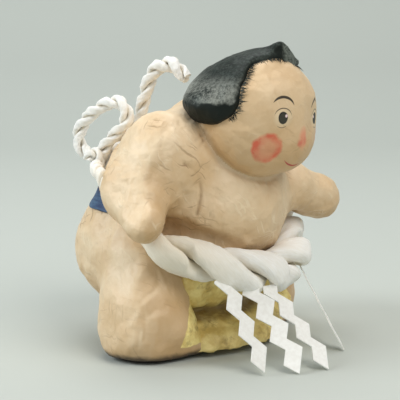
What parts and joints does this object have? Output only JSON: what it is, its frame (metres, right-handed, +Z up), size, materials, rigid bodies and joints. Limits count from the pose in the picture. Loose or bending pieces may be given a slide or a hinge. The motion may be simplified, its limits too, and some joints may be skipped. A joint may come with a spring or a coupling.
{
  "type": "papier-mache sumo doll",
  "caption": "Standing papier-mache wrestler figure with raised stub arms, black hair, gold apron and a thick twisted waist rope with a knot behind and hinged zigzag paper streamers.",
  "frame": {"origin": "on the underside of the base sheet, midway between the feet", "axes": "+Z up from the table, -Y the way the belly and face look, -X towards the doll's right hand"},
  "size_m": [0.1446, 0.1592, 0.1498],
  "materials": {
    "skin": "wrinkled matt paint over pasted paper",
    "hair": "black satin paint over pasted paper",
    "gold": "dull gold paint over pasted paper",
    "blue": "matt blue paint on a paper strip",
    "rope": "soft white twisted cord",
    "white_paper": "flat white cut paper"
  },
  "bodies": {
    "doll": {"torso_front": "skin", "torso_rear": "skin", "right_leg": "skin", "left_leg": "skin", "base_sheet": "skin", "right_arm": "skin", "left_arm": "skin", "face_shell": "skin", "head_rear": "skin", "hair_cap": "hair", "topknot": "hair", "gold_apron": "gold", "blue_belt": "blue", "rope_strand_1": "rope", "rope_strand_2": "rope", "rope_knot": "rope", "rope_loop": "rope", "rope_tail": "rope"},
    "streamer_1_sheet": {"streamer_1": "white_paper"},
    "streamer_2_sheet": {"streamer_2": "white_paper"},
    "streamer_3_sheet": {"streamer_3": "white_paper"},
    "streamer_4_sheet": {"streamer_4": "white_paper"}
  },
  "joints": [
    {"name": "streamer_1_hinge", "type": "hinge", "parent": "doll", "child": "streamer_1_sheet", "pos_m": [-0.03728, -0.03867, 0.04063], "axis": [-0.9724, 0.2334, 0], "range_deg": [0, 40]},
    {"name": "streamer_2_hinge", "type": "hinge", "parent": "doll", "child": "streamer_2_sheet", "pos_m": [-0.02103, -0.04538, 0.03557], "axis": [-0.6691, 0.7431, 0], "range_deg": [0, 40]},
    {"name": "streamer_3_hinge", "type": "hinge", "parent": "doll", "child": "streamer_3_sheet", "pos_m": [-0.01016, -0.0489, 0.03433], "axis": [-0.9703, 0.2419, 0], "range_deg": [0, 40]},
    {"name": "streamer_4_hinge", "type": "hinge", "parent": "doll", "child": "streamer_4_sheet", "pos_m": [0.02728, -0.04256, 0.03588], "axis": [-0.8141, -0.5807, 0], "range_deg": [0, 40]}
  ]
}
